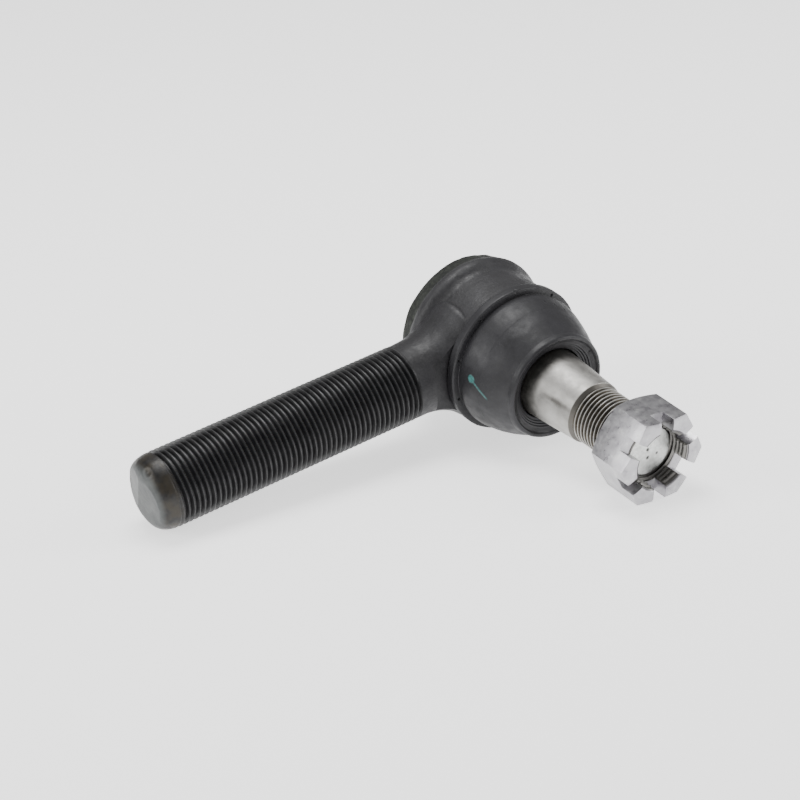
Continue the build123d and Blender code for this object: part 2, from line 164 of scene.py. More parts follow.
def new_object(name, bm, crease=35):
    """Turns a bmesh into a linked object, smooth except at edges sharper than the crease."""
    bm.normal_update()
    limit = radians(crease)
    for face in bm.faces:
        face.smooth = True
    for edge in bm.edges:
        edge.smooth = len(edge.link_faces) != 2 or edge.calc_face_angle(0.0) <= limit
    mesh = bpy.data.meshes.new(name)
    bm.to_mesh(mesh)
    bm.free()
    obj = bpy.data.objects.new(name, mesh)
    bpy.context.scene.collection.objects.link(obj)
    return obj


def cad_copy(node, cuts=()):
    """Welded copy of a CAD mesh, cut by planes (point, normal) and closed again."""
    bm = bmesh.new()
    bm.from_mesh(nodes[node].data)
    bmesh.ops.remove_doubles(bm, verts=bm.verts, dist=WELD)
    for point, normal in cuts:
        geometry = bm.verts[:] + bm.edges[:] + bm.faces[:]
        bmesh.ops.bisect_plane(bm, geom=geometry, plane_co=point, plane_no=normal, clear_outer=True)
        rim = [edge for edge in bm.edges if edge.is_boundary]
        bmesh.ops.holes_fill(bm, edges=rim, sides=0)
    return bm


def refine(bm, longest, wanted):
    """Splits the edges longer than a length in millimetres, where wanted(middle) is true."""
    for _ in range(4):
        edges = [
            e for e in bm.edges
            if e.calc_length() > longest * MM and wanted((e.verts[0].co + e.verts[1].co) / 2)
        ]
        if not edges:
            return
        bmesh.ops.subdivide_edges(bm, edges=edges, cuts=1, use_grid_fill=False)
        bmesh.ops.triangulate(bm, faces=[f for f in bm.faces if len(f.verts) > 3])


def ripple(bm, size, height):
    """Moves vertices along their normals by noise; height(point) is its size in millimetres."""
    bm.normal_update()
    moves = [(v, v.normal * height(v.co) * MM * noise.noise(v.co / (size * MM))) for v in bm.verts]
    for vert, move in moves:
        vert.co += move


def dent(bm, centre, radius, depth):
    """Rounded dimple, or a bump for a negative depth, within a radius of a point."""
    bm.normal_update()
    moves = []
    for vert in bm.verts:
        away = (vert.co - centre).length / (radius * MM)
        if away < 1:
            moves.append((vert, vert.normal * depth * MM * ease(1 - away)))
    for vert, move in moves:
        vert.co -= move


def spline(points, per_span):
    """Smooth curve through (a, b) points, a Catmull-Rom spline with several steps a span."""
    padded = [points[0], *points, points[-1]]
    out = []
    for p0, p1, p2, p3 in zip(padded, padded[1:], padded[2:], padded[3:]):
        for k in range(per_span):
            t = k / per_span
            out.append(tuple(
                b + 0.5 * t * (c - a + t * (2 * a - 5 * b + 4 * c - d + t * (3 * (b - c) + d - a)))
                for a, b, c, d in zip(p0, p1, p2, p3)
            ))
    out.append(tuple(points[-1]))
    return out


def rounded(points, steps=5):
    """Path through (a, b, rounding) points: a corner with a rounding becomes a short curve."""
    out = [points[0][:2]]
    for before, corner, after in zip(points, points[1:], points[2:]):
        if not corner[2]:
            out.append(corner[:2])
            continue
        ends = []
        for other in (before, after):
            away = (other[0] - corner[0], other[1] - corner[1])
            share = min(0.45, corner[2] / hypot(*away))
            ends.append((corner[0] + away[0] * share, corner[1] + away[1] * share))
        for k in range(steps + 1):
            t = k / steps
            out.append(tuple(
                (1 - t) ** 2 * a + 2 * t * (1 - t) * c + t * t * b
                for a, c, b in zip(ends[0], corner, ends[1])
            ))
    out.append(points[-1][:2])
    return out


def thin_out(profile, spacing):
    """Adds points so that no step of the profile is longer than the spacing."""
    out = [profile[0]]
    for a, b in zip(profile, profile[1:]):
        count = max(1, round(hypot(b[0] - a[0], b[1] - a[1]) / spacing))
        out += [
            (a[0] + (b[0] - a[0]) * k / count, a[1] + (b[1] - a[1]) * k / count)
            for k in range(1, count + 1)
        ]
    return out


def angles_near(steps, features, half_width, fine_steps):
    """A full turn of angles with extra ones round each feature angle, all in degrees."""
    turn = [360 * k / steps for k in range(steps)]
    for feature in features:
        turn += [(feature + half_width * (2 * k / fine_steps - 1)) % 360 for k in range(fine_steps + 1)]
    turn = sorted(set(round(a, 4) for a in turn))
    return [radians(a) for a in turn] + [radians(turn[0] + 360)]


def cut_away(obj, cutter_bm):
    """Boolean difference that is applied at once."""
    cutter = new_object(obj.name + "_cutter", cutter_bm)
    modifier = obj.modifiers.new("cut", "BOOLEAN")
    modifier.operation = "DIFFERENCE"
    modifier.solver = "EXACT"
    modifier.object = cutter
    graph = bpy.context.evaluated_depsgraph_get()
    mesh = bpy.data.meshes.new_from_object(obj.evaluated_get(graph))
    obj.modifiers.clear()
    old = obj.data
    obj.data = mesh
    bpy.data.meshes.remove(old)
    bpy.data.objects.remove(cutter)


# ----------------------------------------------------------------------------------- threads
def thread_r(phase, pitch, major_r):
    """Radius of the unified thread form at a phase along one pitch, with the crest at 0."""
    away = min(phase % 1, 1 - phase % 1)
    down = (away - CREST_LAND / 2) / (THREAD_DEPTH * FLANK_TAN)
    return major_r - THREAD_DEPTH * pitch * min(1, max(0, down))


def thread_rows(place, low, high, pitch, crest_at, hand, steps, form):
    """Rows that follow a helix between two positions; form(phase, position) is the radius."""
    land = CREST_LAND / 2
    foot = land + THREAD_DEPTH * FLANK_TAN
    phases = (-foot, -land, 0.0, land, foot, 0.5)
    rows = []
    for turn in range(int((low - crest_at) / pitch) - 2, int((high - crest_at) / pitch) + 3):
        for phase in phases:
            row = []
            for k in range(steps + 1):
                turned = hand * k / steps
                position = crest_at + pitch * (turn + phase + turned)
                position = min(high, max(low, position))
                r = form((position - crest_at) / pitch - turned, position)
                row.append(place(r, position, 2 * pi * k / steps))
            rows.append(row)
    return rows


def build_shank_thread():
    """Right-hand thread from inside the neck to the worn, two-faceted nose."""
    steps = 144

    def form(phase, reach):
        r = thread_r(phase, SHANK_PITCH, SHANK_R)
        start = ease((reach - NECK_CUT + 0.4) / 1.0)
        fade = ease((reach - RUN_OUT[0]) / (RUN_OUT[1] - RUN_OUT[0]))
        r = (NECK_R - 0.05) * (1 - start) + r * start
        return r * (1 - fade) + NOSE[0][0] * fade

    angles = full_turn(steps)
    nose = thin_out(spline(NOSE, 5), 0.45)
    rows = [[on_shank(0, THREAD_START, a) for a in angles]]
    rows += thread_rows(on_shank, THREAD_START, RUN_OUT[1], SHANK_PITCH, SHANK_CREST, SHANK_HAND, steps, form)
    rows += lathe_rows(nose, on_shank, angles)
    bm = skin(rows)
    for vert in bm.verts:
        x, y, z = vert.co / MM
        away = y - NOSE_RIDGE[0] - NOSE_RIDGE[1] * z
        slope = NOSE_SLOPES[0] if away > 0 else NOSE_SLOPES[1]
        facet = NOSE_PEAK - slope * abs(away)
        if -x > facet:
            vert.co.x = -facet * MM
    ripple(bm, 5.0, lambda point: 0.1 * ease((-point.x / MM - 144.5) / 3))
    ripple(bm, 1.3, lambda point: 0.03 * ease((-point.x / MM - 143.0) / 2))
    dent(bm, on_shank(12.2, 150.0, radians(104)), 2.2, 0.6)
    dent(bm, on_shank(12.9, 148.9, radians(-62)), 1.3, 0.2)
    return new_object("shank_thread", bm, crease=30)


def build_housing_forging():
    """The forged eye and neck, cut off where the thread begins, with an uneven forged skin."""
    bm = cad_copy("socket_housing", [(Vector((-NECK_CUT * MM, 0, 0)), Vector((-1, 0, 0)))])

    def forged_skin(point):
        x, y, z = point / MM
        outside = hypot(x, z) > 27.0
        return outside and (y > 4.5 or x < -27.5) and -x < 41.0

    refine(bm, 1.6, forged_skin)

    def height(point):
        _, y, _ = point / MM
        if not forged_skin(point) or y < -9.0:
            return 0.0
        rear = ease((y - 12.8) / 1.6)
        return 0.10 + 0.22 * rear

    ripple(bm, 4.5, height)
    ripple(bm, 1.5, lambda point: 0.5 * height(point))
    return new_object("housing_forging", bm, crease=32)


def build_stud_body():
    bm = cad_copy("ball_stud", [(Vector((0, -RELIEF_CUT * MM, 0)), Vector((0, -1, 0)))])
    return new_object("stud_body", bm, crease=25)


def build_stud_thread():
    """Thread from the relief to the chamfered end face with its three punch marks."""
    steps = 128

    def form(phase, depth):
        r = thread_r(phase, STUD_PITCH, STUD_R)
        start = ease((depth - STUD_RUN_OUT[0]) / (STUD_RUN_OUT[1] - STUD_RUN_OUT[0]))
        r = RELIEF_R * (1 - start) + r * start
        chamfer = STUD_TIP[0][0] + 1.1 * (STUD_TIP[0][1] - depth)
        return max(min(r, chamfer), min(r, RELIEF_R))

    angles = full_turn(steps)
    rows = [[on_stud(0, RELIEF_CUT - 1.0, a) for a in angles]]
    rows += [[on_stud(RELIEF_R - 0.02, RELIEF_CUT - 1.0, a) for a in angles]]
    rows += thread_rows(
        on_stud, RELIEF_CUT - 0.5, STUD_TIP[0][1], STUD_PITCH, STUD_CREST, STUD_HAND, steps, form,
    )
    rows += lathe_rows(thin_out(STUD_TIP[1:], 0.35), on_stud, angles)
    bm = skin(rows)
    for x, z, radius, depth in PUNCH_MARKS:
        dent(bm, Vector((x, -92.7, z)) * MM, radius, depth)
    obj = new_object("stud_thread", bm, crease=30)
    depth, radius, direction = COTTER
    axis = Vector((cos(radians(direction)), 0, sin(radians(direction))))
    place = Matrix.Translation((0, -depth * MM, 0)) @ axis.to_track_quat("Z", "Y").to_matrix().to_4x4()
    sink = STUD_R - COTTER_SINK
    half = ((0, 0), (radius, 0), (radius, sink), (radius + 3, sink + 3), (0, sink + 3))
    outline = [(r, -t) for r, t in reversed(half[2:])] + list(half[1:])
    drill = skin([[Vector((r * cos(a), r * sin(a), t)) * MM for a in full_turn(40)] for r, t in outline])
    bmesh.ops.transform(drill, matrix=place, verts=drill.verts)
    cut_away(obj, drill)
    return obj


def build_nut_body():
    """The CAD nut with its edges worn a little round."""
    bm = cad_copy("castle_nut")
    bmesh.ops.dissolve_limit(bm, angle_limit=radians(1), verts=bm.verts, edges=bm.edges)
    bm.normal_update()
    corner = radians(24)
    edges = [e for e in bm.edges if len(e.link_faces) == 2 and e.calc_face_angle(0.0) > corner]
    bmesh.ops.bevel(
        bm, geom=edges, offset=0.28 * MM, offset_type="OFFSET", segments=3, profile=0.5, affect="EDGES",
        clamp_overlap=True,
    )
    bmesh.ops.triangulate(bm, faces=[f for f in bm.faces if len(f.verts) > 4])
    return new_object("nut_body", bm, crease=28)


def build_nut_thread():
    """Threaded lining of the nut, with the nut's slots cut through it."""
    steps = 96
    rear, front = NUT_DEPTHS

    def form(phase, depth):
        groove = thread_r(phase + 0.5, STUD_PITCH, NUT_BORE_R)
        r = NUT_MINOR_R + (NUT_BORE_R - groove)
        edge = min(depth - rear, front - depth)
        return max(r, NUT_SLEEVE_R - 0.05 - 0.9 * max(0.0, edge - 0.1))

    angles = full_turn(steps)
    rows = thread_rows(on_stud, rear + 0.1, front - 0.1, STUD_PITCH, STUD_CREST, STUD_HAND, steps, form)
    rows += [[on_stud(NUT_SLEEVE_R, depth, a) for a in angles] for depth in (front - 0.1, rear + 0.1)]
    obj = new_object("nut_thread", skin(rows, closed=True), crease=30)
    width, depth = NUT_SLOT
    for k in range(3):
        slot = bmesh.new()
        place = Matrix.Rotation(radians(-(NUT_TURN + 30 + 60 * k)), 4, "Y")
        place = place @ Matrix.Translation((0, -(front - depth / 2 + 1) * MM, 0))
        bmesh.ops.create_cube(slot, size=MM, matrix=place @ Matrix.Diagonal((30, depth + 2, width, 1)))
        cut_away(obj, slot)
    return obj


# -------------------------------------------------------------------------------------- boot
PINHOLES = (49.0, 123.0, 158.6, -166.2)     # moulding vents in the groove, degrees about the stud
FLANGE_NOTCH = 86.4
FLASH = (-130.0, -109.0)
SCUFFS = ((22.1, 69.5, 0.8), (25.0, 51.8, 0.55), (23.6, 61.0, 0.5))     # depth, angle, radius
MOUTH_HOLES = ((18.0, 38.8, 27.5), (18.2, 39.0, -165.6), (19.2, 39.7, 85.3))


def dome_at(depth):
    """Radius of the dome's outside at a depth, read off its curve."""
    curve = spline(DOME, 12)
    for (r0, d0), (r1, d1) in zip(curve, curve[1:]):
        if d0 <= depth <= d1:
            return r0 + (r1 - r0) * (depth - d0) / (d1 - d0)
    return curve[-1][0]


def build_boot_lower():
    """Flange, groove and the wide part of the dome, with vents, a moulding notch and torn flash."""
    outer = [p for p in spline(DOME, 8) if p[1] < BOOT_SPLIT - 0.2] + [(dome_at(BOOT_SPLIT), BOOT_SPLIT)]
    inner = [p for p in spline(LINING, 8) if p[1] < BOOT_SPLIT - 0.2]
    flange = rounded([*FLANGE, (*DOME[0], 0)])
    profile = thin_out(flange[:-1] + outer, 0.45)
    profile += thin_out([(BOOT_SPLIT_R, BOOT_SPLIT), *inner], 1.6)
    angles = angles_near(256, (*PINHOLES, FLANGE_NOTCH, *[s[1] for s in SCUFFS]), 2.2, 18)
    bm = skin(lathe_rows(profile, on_stud, angles), closed=True)

    def outside(point):
        return hypot(point.x, point.z) > 25.3 * MM and -point.y > 10.95 * MM

    ripple(bm, 11.0, lambda point: 0.16 if outside(point) else 0.0)
    ripple(bm, 2.6, lambda point: 0.05 if outside(point) else 0.0)
    for angle in PINHOLES:
        dent(bm, on_stud(27.1, 14.6, radians(angle)), 0.7, 1.1)
    dent(bm, on_stud(28.6, 14.1, radians(FLANGE_NOTCH)), 0.9, 0.8)
    for depth, angle, radius in SCUFFS:
        dent(bm, on_stud(dome_at(depth), depth, radians(angle)), radius, 0.3)
    for vert in bm.verts:
        x, y, z = vert.co / MM
        angle = Vector((x, z)).angle_signed(Vector((1, 0)))
        degrees_round = angle * 180 / pi
        lip = ease(1 - abs(-y - 12.6) / 0.8) * ease((hypot(x, z) - 28.5) / 0.3)
        span = ease((degrees_round - FLASH[0]) / 2) * ease((FLASH[1] - degrees_round) / 2)
        tear = 0.35 + 0.65 * abs(noise.noise(Vector((degrees_round * 0.9, 0, 0))))
        out = 1 + 0.034 * lip * span * tear
        vert.co.x *= out
        vert.co.z *= out
    return new_object("boot_lower", bm, crease=38)


def build_boot_upper():
    """The narrowing dome, the rolled mouth and the ribbed funnel down to the wiping lip."""
    outer = [(dome_at(BOOT_SPLIT), BOOT_SPLIT)] + [p for p in spline(DOME, 8) if p[1] > BOOT_SPLIT + 0.2]
    rim = spline((DOME[-1], *MOUTH), 6)
    ribs = [(r + dr, d + dd, f) for r, d in RIDGES for dr, dd, f in RIDGE_STEP]
    funnel = rounded([(*MOUTH[-1], 0), *ribs, *TONGUE, (*LINING[0], 0)])
    inner = [p for p in spline(LINING, 8) if p[1] > BOOT_SPLIT + 0.2] + [(BOOT_SPLIT_R, BOOT_SPLIT)]
    profile = thin_out(outer + rim[1:] + funnel[1:], 0.4) + thin_out(inner, 1.6)[1:]
    angles = angles_near(256, [hole[2] for hole in MOUTH_HOLES], 2.5, 14)
    bm = skin(lathe_rows(profile, on_stud, angles), closed=True)

    def height(point):
        outside = hypot(point.x, point.z) > (dome_at(-point.y / MM) - 0.6) * MM
        return 0.16 * ease((-point.y / MM - BOOT_SPLIT) / 0.1) if outside else 0.0

    ripple(bm, 11.0, lambda point: height(point) if -point.y < 38 * MM else 0.05)
    ripple(bm, 2.6, lambda point: 0.3 * height(point) if -point.y < 38 * MM else 0.05)
    for r, depth, angle in MOUTH_HOLES:
        dent(bm, on_stud(r, depth, radians(angle)), 0.55, 0.5)
    return new_object("boot_upper", bm, crease=38)


def build_fitting_coil():
    """Wound wire in place of the CAD sleeve that stands for the grease fitting's spring."""
    low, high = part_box("grease_fitting_spring")
    wire_r = (high.x - low.x) / 16
    coil_r = (high.x - low.x) / 2 - wire_r
    turns, per_turn, sides = 5.5, 28, 10
    count = round(turns * per_turn)
    rows = []
    for k in range(count + 1):
        angle = 2 * pi * k / per_turn
        out = Vector((cos(angle), 0, sin(angle)))
        centre = out * coil_r
        centre.y = low.y + wire_r + (high.y - low.y - 2 * wire_r) * k / count
        shrink = 0 if k in (0, count) else 1
        rows.append([
            centre + (out * cos(side) + Vector((0, sin(side), 0))) * wire_r * shrink
            for side in full_turn(sides)
        ])
    return new_object("fitting_coil", skin(rows), crease=60)


# --------------------------------------------------------------------------------- materials
class Nodes:
    """Small helper that adds and links shader nodes of one material."""

    def __init__(self, name, roughness=0.5, metallic=0.0, specular=0.5):
        self.material = bpy.data.materials.new(name)
        self.material.use_nodes = True
        self.tree = self.material.node_tree
        self.shader = self.tree.nodes["Principled BSDF"]
        self.shader.inputs["Roughness"].default_value = roughness
        self.shader.inputs["Metallic"].default_value = metallic
        self.shader.inputs["Specular IOR Level"].default_value = specular
        self.coordinates = self.add("ShaderNodeTexCoord").outputs["Object"]

    def add(self, kind, **settings):
        node = self.tree.nodes.new(kind)
        for key, value in settings.items():
            setattr(node, key, value)
        return node

    def link(self, source, target):
        self.tree.links.new(source, target)

    def math(self, operation, *values, clamp=False):
        node = self.add("ShaderNodeMath", operation=operation, use_clamp=clamp)
        for socket, value in zip(node.inputs, values):
            if isinstance(value, (int, float)):
                socket.default_value = value
            else:
                self.link(value, socket)
        return node.outputs[0]

    def noise(self, size, detail=4.0, roughness=0.55, stretch=(1, 1, 1)):
        """Noise whose features are about this many millimetres across, longer along small stretch."""
        mapping = self.add("ShaderNodeMapping")
        mapping.inputs["Scale"].default_value = stretch
        self.link(self.coordinates, mapping.inputs["Vector"])
        texture = self.add("ShaderNodeTexNoise")
        texture.inputs["Scale"].default_value = 1 / (size * MM)
        texture.inputs["Detail"].default_value = detail
        texture.inputs["Roughness"].default_value = roughness
        self.link(mapping.outputs["Vector"], texture.inputs["Vector"])
        return texture.outputs["Fac"]

    def ramp(self, value, *stops):
        """Colour by value: stops are (position, colour), with a grey given as one number."""
        node = self.add("ShaderNodeValToRGB")
        node.color_ramp.interpolation = "EASE"
        elements = node.color_ramp.elements
        while len(elements) < len(stops):
            elements.new(0.5)
        for element, (position, colour) in zip(elements, stops):
            grey = isinstance(colour, (int, float))
            element.position = position
            element.color = (colour, colour, colour, 1) if grey else (*colour, 1)
        self.link(value, node.inputs["Fac"])
        return node.outputs["Color"]

    def mix(self, factor, a, b):
        node = self.add("ShaderNodeMix", data_type="RGBA")
        colours = [s for s in node.inputs if s.type == "RGBA"]
        share = [s for s in node.inputs if s.type == "VALUE"][0]
        for socket, value in ((share, factor), (colours[0], a), (colours[1], b)):
            if isinstance(value, (int, float)):
                socket.default_value = value
            elif isinstance(value, tuple):
                socket.default_value = (*value, 1)
            else:
                self.link(value, socket)
        return [s for s in node.outputs if s.type == "RGBA"][0]

    def axes(self):
        """Object X, Y and Z in millimetres."""
        split = self.add("ShaderNodeSeparateXYZ")
        self.link(self.coordinates, split.inputs[0])
        return [self.math("MULTIPLY", output, 1 / MM) for output in split.outputs]

    def radius(self, a, b):
        return self.math("SQRT", self.math("ADD", self.math("MULTIPLY", a, a), self.math("MULTIPLY", b, b)))

    def between(self, value, low, high, soft):
        """1 between two limits, 0 outside, with soft edges."""
        rise = self.math("DIVIDE", self.math("SUBTRACT", value, low - soft / 2), soft, clamp=True)
        fall = self.math("DIVIDE", self.math("SUBTRACT", high + soft / 2, value), soft, clamp=True)
        return self.math("MULTIPLY", rise, fall)

    def spot(self, centre, size, soft, wobble=0.0, stretch=(1, 1, 1)):
        """1 within a distance of a point, with a soft and uneven edge; a small stretch lengthens it."""
        axes = zip(self.axes(), centre, stretch)
        squares = [
            self.math("POWER", self.math("MULTIPLY", self.math("SUBTRACT", value, middle), scale), 2)
            for value, middle, scale in axes
        ]
        away = self.math("SQRT", self.math("ADD", self.math("ADD", squares[0], squares[1]), squares[2]))
        if wobble:
            uneven = self.math("SUBTRACT", self.noise(2.0), 0.5)
            away = self.math("ADD", away, self.math("MULTIPLY", uneven, wobble))
        return self.math("DIVIDE", self.math("SUBTRACT", size + soft / 2, away), soft, clamp=True)

    def colour(self, value):
        self.link(value, self.shader.inputs["Base Color"])

    def rough(self, value):
        self.link(value, self.shader.inputs["Roughness"])

    def bumps(self, *layers):
        """Bump layers of (height, depth in millimetres)."""
        normal = None
        for height, depth in layers:
            bump = self.add("ShaderNodeBump")
            bump.inputs["Strength"].default_value = 1.0
            bump.inputs["Distance"].default_value = depth * MM
            self.link(height, bump.inputs["Height"])
            if normal is not None:
                self.link(normal, bump.inputs["Normal"])
            normal = bump.outputs["Normal"]
        self.link(normal, self.shader.inputs["Normal"])


def forging_material():
    """Black phosphated forging: satin and mottled, dark, rough and greenish on the rear band."""
    n = Nodes("forged_black", specular=0.4)
    _, y, _ = n.axes()
    broad = n.noise(9.0, detail=5)
    fine = n.noise(0.8, detail=6, roughness=0.7)
    base = n.ramp(broad, (0.3, (0.013, 0.0125, 0.014)), (0.7, (0.026, 0.0255, 0.028)))
    dusty = n.ramp(fine, (0.5, 0.0), (0.8, 0.3))
    base = n.mix(dusty, base, (0.065, 0.064, 0.07))
    rear = n.between(y, 13.6, 40.0, 0.5)
    green = n.ramp(n.noise(1.6, detail=6), (0.35, (0.006, 0.007, 0.006)), (0.8, (0.03, 0.034, 0.026)))
    n.colour(n.mix(rear, base, green))
    rough = n.ramp(n.noise(3.0, detail=6), (0.3, 0.38), (0.75, 0.6))
    n.rough(n.mix(rear, rough, (0.78, 0.78, 0.78)))
    n.bumps((broad, 0.2), (n.noise(1.4, detail=5, roughness=0.65), 0.14), (fine, 0.04))
    return n.material


def thread_material():
    """Black oxide on cut threads: dark in the roots, with the crests painted lighter in patches as a
    highlight.
    """
    n = Nodes("black_thread", metallic=0.3, specular=0.45)
    x, y, z = n.axes()
    r = n.radius(y, z)
    # painted highlight: the thread crests lighter than the roots, in noisy patches
    crest = n.between(r, SHANK_R - 0.06, SHANK_R + 1, 0.12)
    patch = n.ramp(n.noise(5.0, detail=5), (0.35, 0.3), (0.7, 1.0))
    crest_highlight = n.math("MULTIPLY", crest, patch)
    base = n.ramp(n.noise(2.5, detail=5), (0.3, (0.008, 0.008, 0.009)), (0.75, (0.022, 0.022, 0.023)))
    lit = n.mix(crest_highlight, base, (0.05, 0.05, 0.052))
    start = n.between(x, -160.0, -144.0, 3.0)
    brown = n.math("MULTIPLY", start, n.ramp(n.noise(4.0, detail=5), (0.35, 0.1), (0.65, 0.8)))
    band = n.mix(brown, lit, (0.032, 0.026, 0.017))
    end = n.between(x, -160.0, -150.3, 1.6)
    pale = n.ramp(n.noise(5.0, detail=6), (0.3, (0.05, 0.054, 0.054)), (0.75, (0.085, 0.09, 0.088)))
    n.colour(n.mix(end, band, pale))
    n.rough(n.mix(end, n.ramp(n.noise(1.8, detail=5), (0.3, 0.3), (0.75, 0.48)), (0.42, 0.42, 0.42)))
    n.bumps((n.noise(0.5, detail=6, stretch=(3, 1, 1)), 0.03), (n.noise(2.2, detail=4), 0.06))
    return n.material


def cover_material():
    n = Nodes("pressed_cover_black", specular=0.4)
    n.colour(n.ramp(n.noise(3.0, detail=6), (0.3, (0.010, 0.011, 0.012)), (0.8, (0.042, 0.041, 0.038))))
    n.rough(n.ramp(n.noise(1.2, detail=5), (0.3, 0.36), (0.7, 0.6)))
    n.bumps((n.noise(0.8, detail=6), 0.04))
    return n.material


def rubber_material():
    """Moulded rubber: charcoal, satin, faintly dusty, with a splash of teal inspection paint."""
    n = Nodes("boot_rubber", roughness=0.5, specular=0.35)
    broad = n.noise(14.0, detail=4)
    base = n.ramp(broad, (0.3, (0.014, 0.0137, 0.0155)), (0.75, (0.023, 0.0225, 0.0255)))
    dust = n.ramp(n.noise(1.1, detail=7, roughness=0.72), (0.52, 0.0), (0.8, 0.3))
    base = n.mix(dust, base, (0.06, 0.062, 0.068))
    specks = n.ramp(n.noise(0.45, detail=3, roughness=0.5), (0.73, 0.0), (0.78, 0.8))
    base = n.mix(specks, base, (0.10, 0.10, 0.105))
    drop = n.spot((-25.6, -22.1, 5.9), 1.5, 0.5, wobble=0.8)
    x, y, z = n.axes()
    line = n.math("ABSOLUTE", n.math("SUBTRACT", n.math("MULTIPLY_ADD", y, 0.78, 23.2), z))
    streak = n.math("MULTIPLY", n.between(line, -1, 0.45, 0.5), n.between(y, -29.2, -22.5, 1.2))
    streak = n.math("MULTIPLY", streak, n.between(x, -40.0, -10.0, 1.0))
    streak = n.math("MULTIPLY", streak, n.ramp(n.noise(1.5), (0.3, 0.55), (0.6, 0.9)))
    splash = n.math("MAXIMUM", drop, streak)
    teal = n.ramp(n.noise(0.8, detail=4), (0.3, (0.03, 0.11, 0.105)), (0.7, (0.07, 0.20, 0.19)))
    n.colour(n.mix(splash, base, teal))
    rough = n.ramp(n.noise(4.0, detail=6), (0.3, 0.38), (0.75, 0.56))
    n.rough(n.mix(splash, rough, (0.35, 0.35, 0.35)))
    n.bumps((n.noise(2.2, detail=5), 0.05), (n.noise(0.35, detail=5), 0.012), (splash, 0.08))
    return n.material


def stud_material():
    """Satin ground steel with turning marks, a smudge along the taper, darker browner thread roots, a painted
    shadow of the boot on the taper and painted shade in the punch marks.
    """
    n = Nodes("ground_steel", metallic=1.0)
    x, y, z = n.axes()
    rings = n.noise(0.25, detail=4, stretch=(0.06, 1, 0.06))
    smears = n.noise(6.0, detail=5, stretch=(1, 0.5, 1))
    base = n.ramp(smears, (0.25, (0.33, 0.322, 0.305)), (0.7, (0.47, 0.46, 0.44)))
    specks = n.ramp(n.noise(0.9, detail=6, roughness=0.7), (0.55, 0.0), (0.75, 0.5))
    base = n.mix(specks, base, (0.16, 0.15, 0.135))
    # painted shadow of the boot: the stud darkened between depths of about 20 and 41 mm
    boot_shadow = n.between(y, -41.0, -20.0, 6.0)
    base = n.mix(n.math("MULTIPLY", boot_shadow, 0.75), base, (0.07, 0.065, 0.056))
    smudge = n.spot((-11.3, -55.0, 5.9), 1.1, 1.2, wobble=1.0, stretch=(1, 0.16, 1))
    base = n.mix(n.math("MULTIPLY", smudge, 0.75), base, (0.06, 0.055, 0.048))
    dark = n.between(y, -63.4, -61.3, 0.25)
    base = n.mix(n.math("MULTIPLY", dark, 0.8), base, (0.05, 0.044, 0.036))
    threads = n.between(y, -91.6, -62.6, 0.5)
    r = n.radius(x, z)
    valley = n.math("SUBTRACT", 1.0, n.between(r, STUD_R - 0.18, STUD_R + 1, 0.25))
    # darker, browner colour in the thread roots
    root_colour = n.ramp(n.noise(2.4, detail=5), (0.3, (0.02, 0.016, 0.011)), (0.75, (0.085, 0.07, 0.05)))
    base = n.mix(n.math("MULTIPLY", n.math("MULTIPLY", threads, valley), 0.9), base, root_colour)
    end = n.between(y, -95.0, -92.1, 0.3)
    face = n.ramp(n.noise(1.4, detail=6), (0.3, (0.56, 0.57, 0.55)), (0.7, (0.74, 0.75, 0.73)))
    # painted shade in the punch marks: each dimple darkened on the pale end face
    for mark_x, mark_z, size, _ in PUNCH_MARKS:
        punch_shade = n.spot((mark_x, -92.6, mark_z), size * 0.75, 0.4, wobble=0.5)
        face = n.mix(n.math("MULTIPLY", punch_shade, 0.85), face, (0.035, 0.035, 0.032))
    n.colour(n.mix(end, base, face))
    n.rough(n.ramp(n.noise(2.5, detail=6), (0.3, 0.40), (0.75, 0.55)))
    n.bumps((rings, 0.012), (n.noise(0.6, detail=5), 0.008), (n.noise(1.6, detail=4), 0.01))
    return n.material


def nut_material():
    """Bright zinc plate, cloudy with a faint violet cast, darker in streaks, with small nicks."""
    n = Nodes("zinc_plate", metallic=1.0)
    cloud = n.noise(4.0, detail=7, roughness=0.62)
    base = n.ramp(cloud, (0.3, (0.30, 0.29, 0.31)), (0.52, (0.42, 0.413, 0.428)), (0.72, (0.56, 0.56, 0.56)))
    x, _, z = n.axes()
    inside = n.math("SUBTRACT", 1.0, n.between(n.radius(x, z), 11.5, 30.0, 0.5))
    n.colour(n.mix(n.math("MULTIPLY", inside, 0.75), base, (0.09, 0.085, 0.07)))
    n.rough(n.ramp(n.noise(2.0, detail=6), (0.25, 0.26), (0.8, 0.40)))
    n.bumps((n.noise(2.6, detail=5), 0.05), (n.noise(0.4, detail=5), 0.01))
    return n.material


def plain_steel(name, low, high, rough_low, rough_high):
    n = Nodes(name, metallic=1.0)
    n.colour(n.ramp(n.noise(1.6, detail=6), (0.25, low), (0.8, high)))
    n.rough(n.ramp(n.noise(0.8, detail=5), (0.25, rough_low), (0.8, rough_high)))
    n.bumps((n.noise(0.4, detail=5), 0.008))
    return n.material


def seal_material():
    n = Nodes("seal_rubber", specular=0.3)
    n.colour(n.ramp(n.noise(1.0, detail=5), (0.3, (0.008, 0.008, 0.008)), (0.8, (0.02, 0.02, 0.02))))
    n.rough(n.ramp(n.noise(0.6, detail=5), (0.3, 0.5), (0.8, 0.7)))
    n.bumps((n.noise(0.3, detail=4), 0.01))
    return n.material


def paint(obj, material):
    obj.data.materials.clear()
    obj.data.materials.append(material)


forged = forging_material()
threaded = thread_material()
rubber = rubber_material()
ground = stud_material()
zinc = nut_material()
bearing = plain_steel("bearing_steel", (0.30, 0.30, 0.31), (0.46, 0.46, 0.47), 0.2, 0.38)
spring = plain_steel("spring_steel", (0.14, 0.135, 0.13), (0.27, 0.26, 0.25), 0.3, 0.5)
plated = plain_steel("plated_steel", (0.36, 0.33, 0.25), (0.52, 0.49, 0.41), 0.25, 0.42)

